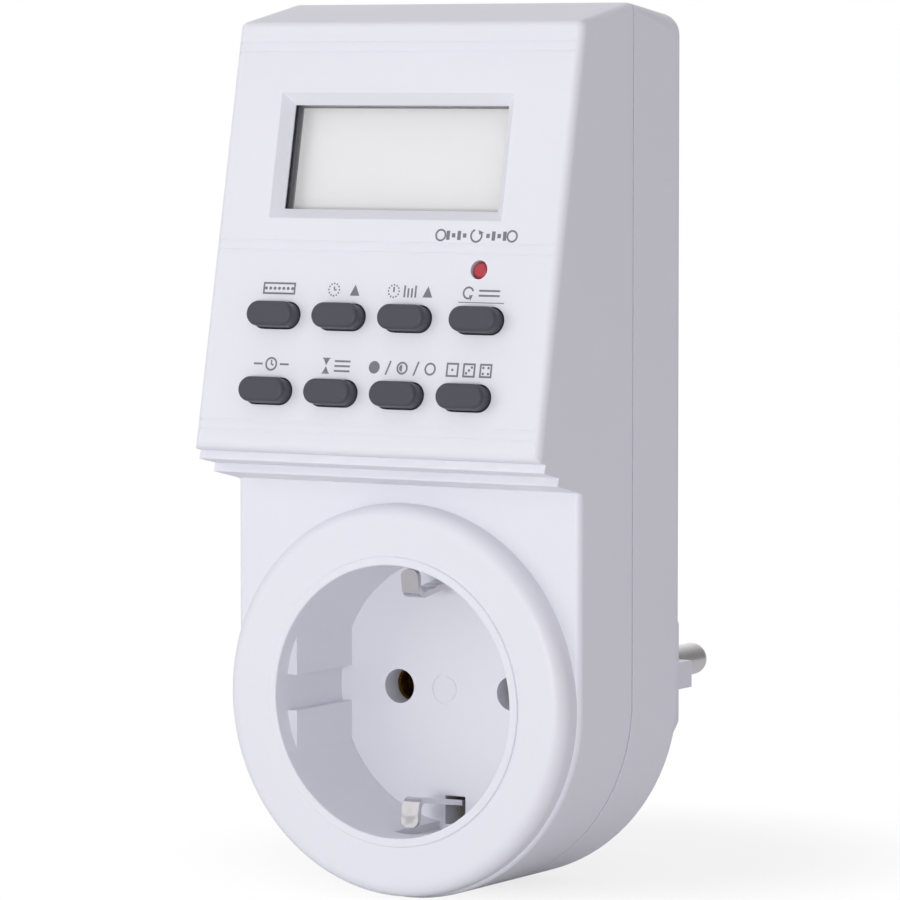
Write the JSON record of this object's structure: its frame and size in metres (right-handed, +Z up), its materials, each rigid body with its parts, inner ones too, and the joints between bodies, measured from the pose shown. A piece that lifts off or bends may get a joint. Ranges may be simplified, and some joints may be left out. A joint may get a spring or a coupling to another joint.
{
  "type": "plug-in timer",
  "caption": "Plug-in digital timer: white housing with round-pin plug behind, earthed outlet well in front, tilted panel with display, dark keys and red reset button.",
  "frame": {"origin": "midway between the plug pins, in the flat end face of the plug that faces the wall", "axes": "+Y along the plug pins into the wall, +X to the right seen from the front, +Z up; the front faces -Y"},
  "size_m": [0.0572, 0.0822, 0.1277],
  "materials": {
    "shell_white": "finely textured moulded ABS, satin",
    "socket_white": "smooth moulded plastic, soft gloss",
    "key_charcoal": "matt moulded plastic",
    "reset_red": "smooth moulded plastic",
    "window_clear": "clear acrylic",
    "frame_dark": "matt moulded plastic",
    "lcd_glass": "polarised glass over a grey reflector, satin",
    "silicone_grey": "moulded silicone",
    "nickel_plate": "bright nickel plate",
    "pin_nickel": "turned brass, satin nickel plate",
    "brass_sheet": "formed sheet, as stamped",
    "carrier_nylon": "natural nylon",
    "board_green": "glass-fibre board under solder mask",
    "board_brown": "paper laminate board",
    "epoxy_black": "poured epoxy",
    "can_steel": "drawn steel, plain",
    "relay_blue": "moulded plastic",
    "relay_black": "moulded plastic",
    "soft_iron": "stamped iron, thin zinc plate",
    "bobbin_white": "moulded nylon",
    "winding_copper": "enamelled copper wire",
    "film_yellow": "boxed film, smooth",
    "can_sleeve": "shrink sleeve",
    "disc_blue": "dipped coating",
    "diode_black": "moulded epoxy",
    "resistor_tan": "dipped coating",
    "fuse_glass": "ceramic tube",
    "wire_brown": "extruded insulation",
    "wire_black": "extruded insulation",
    "wire_blue": "extruded insulation",
    "ribbon_grey": "flat extruded cable",
    "screw_steel": "zinc plated"
  },
  "bodies": {
    "housing": {"front_shell": "shell_white", "rear_shell": "shell_white", "plug_body": "socket_white", "plug_pin_left": "pin_nickel", "plug_pin_right": "pin_nickel", "plug_earth_strap": "nickel_plate", "earth_link": "brass_sheet", "outlet_earth_spring": "nickel_plate", "live_contact": "brass_sheet", "neutral_contact": "brass_sheet", "contact_carrier": "carrier_nylon", "display_window": "window_clear", "display_frame": "frame_dark", "display_cell": "lcd_glass", "display_connectors": "silicone_grey", "control_board": "board_green", "control_chip": "epoxy_black", "watch_crystal": "can_steel", "backup_battery": "can_steel", "battery_tabs": "nickel_plate", "key_mat": "silicone_grey", "reset_switch": "relay_black", "ribbon_cable": "ribbon_grey", "main_board": "board_brown", "relay_base": "relay_black", "relay_cover": "relay_blue", "relay_yoke": "soft_iron", "relay_bobbin": "bobbin_white", "relay_winding": "winding_copper", "relay_fixed_contact": "brass_sheet", "dropper_capacitor": "film_yellow", "smoothing_capacitors": "can_sleeve", "surge_disc": "disc_blue", "rectifier_diodes": "diode_black", "board_resistors": "resistor_tan", "fuse": "fuse_glass", "live_wire": "wire_brown", "neutral_wire": "wire_blue", "load_wire": "wire_black", "housing_screws": "screw_steel", "main_board_screws": "screw_steel", "control_board_screws": "screw_steel"},
    "day_key": {"day_key": "key_charcoal"},
    "hour_key": {"hour_key": "key_charcoal"},
    "minute_key": {"minute_key": "key_charcoal"},
    "recall_key": {"recall_key": "key_charcoal"},
    "clock_key": {"clock_key": "key_charcoal"},
    "program_key": {"program_key": "key_charcoal"},
    "mode_key": {"mode_key": "key_charcoal"},
    "shuffle_key": {"shuffle_key": "key_charcoal"},
    "reset_button": {"reset_button": "reset_red"},
    "relay_armature": {"relay_armature": "soft_iron", "relay_blade": "brass_sheet"}
  },
  "joints": [
    {"name": "day_key_press", "type": "slide", "parent": "housing", "child": "day_key", "axis": [0, 0.9796, -0.2011], "range_m": [0, 0.0008], "stiffness_N_per_m": 1500},
    {"name": "hour_key_press", "type": "slide", "parent": "housing", "child": "hour_key", "axis": [0, 0.9796, -0.2011], "range_m": [0, 0.0008], "stiffness_N_per_m": 1500},
    {"name": "minute_key_press", "type": "slide", "parent": "housing", "child": "minute_key", "axis": [0, 0.9796, -0.2011], "range_m": [0, 0.0008], "stiffness_N_per_m": 1500},
    {"name": "recall_key_press", "type": "slide", "parent": "housing", "child": "recall_key", "axis": [0, 0.9796, -0.2011], "range_m": [0, 0.0008], "stiffness_N_per_m": 1500},
    {"name": "clock_key_press", "type": "slide", "parent": "housing", "child": "clock_key", "axis": [0, 0.9796, -0.2011], "range_m": [0, 0.0008], "stiffness_N_per_m": 1500},
    {"name": "program_key_press", "type": "slide", "parent": "housing", "child": "program_key", "axis": [0, 0.9796, -0.2011], "range_m": [0, 0.0008], "stiffness_N_per_m": 1500},
    {"name": "mode_key_press", "type": "slide", "parent": "housing", "child": "mode_key", "axis": [0, 0.9796, -0.2011], "range_m": [0, 0.0008], "stiffness_N_per_m": 1500},
    {"name": "shuffle_key_press", "type": "slide", "parent": "housing", "child": "shuffle_key", "axis": [0, 0.9796, -0.2011], "range_m": [0, 0.0008], "stiffness_N_per_m": 1500},
    {"name": "reset_button_press", "type": "slide", "parent": "housing", "child": "reset_button", "axis": [0, 0.9796, -0.2011], "range_m": [0, 0.0005], "stiffness_N_per_m": 1500},
    {"name": "relay_armature_tilt", "type": "hinge", "parent": "housing", "child": "relay_armature", "pos_m": [-0.0224, -0.0411, 0.0408], "axis": [0, 0, 1], "range_deg": [0, 3.5], "stiffness_Nm_per_rad": 0.05, "springref_deg": -2.86}
  ]
}
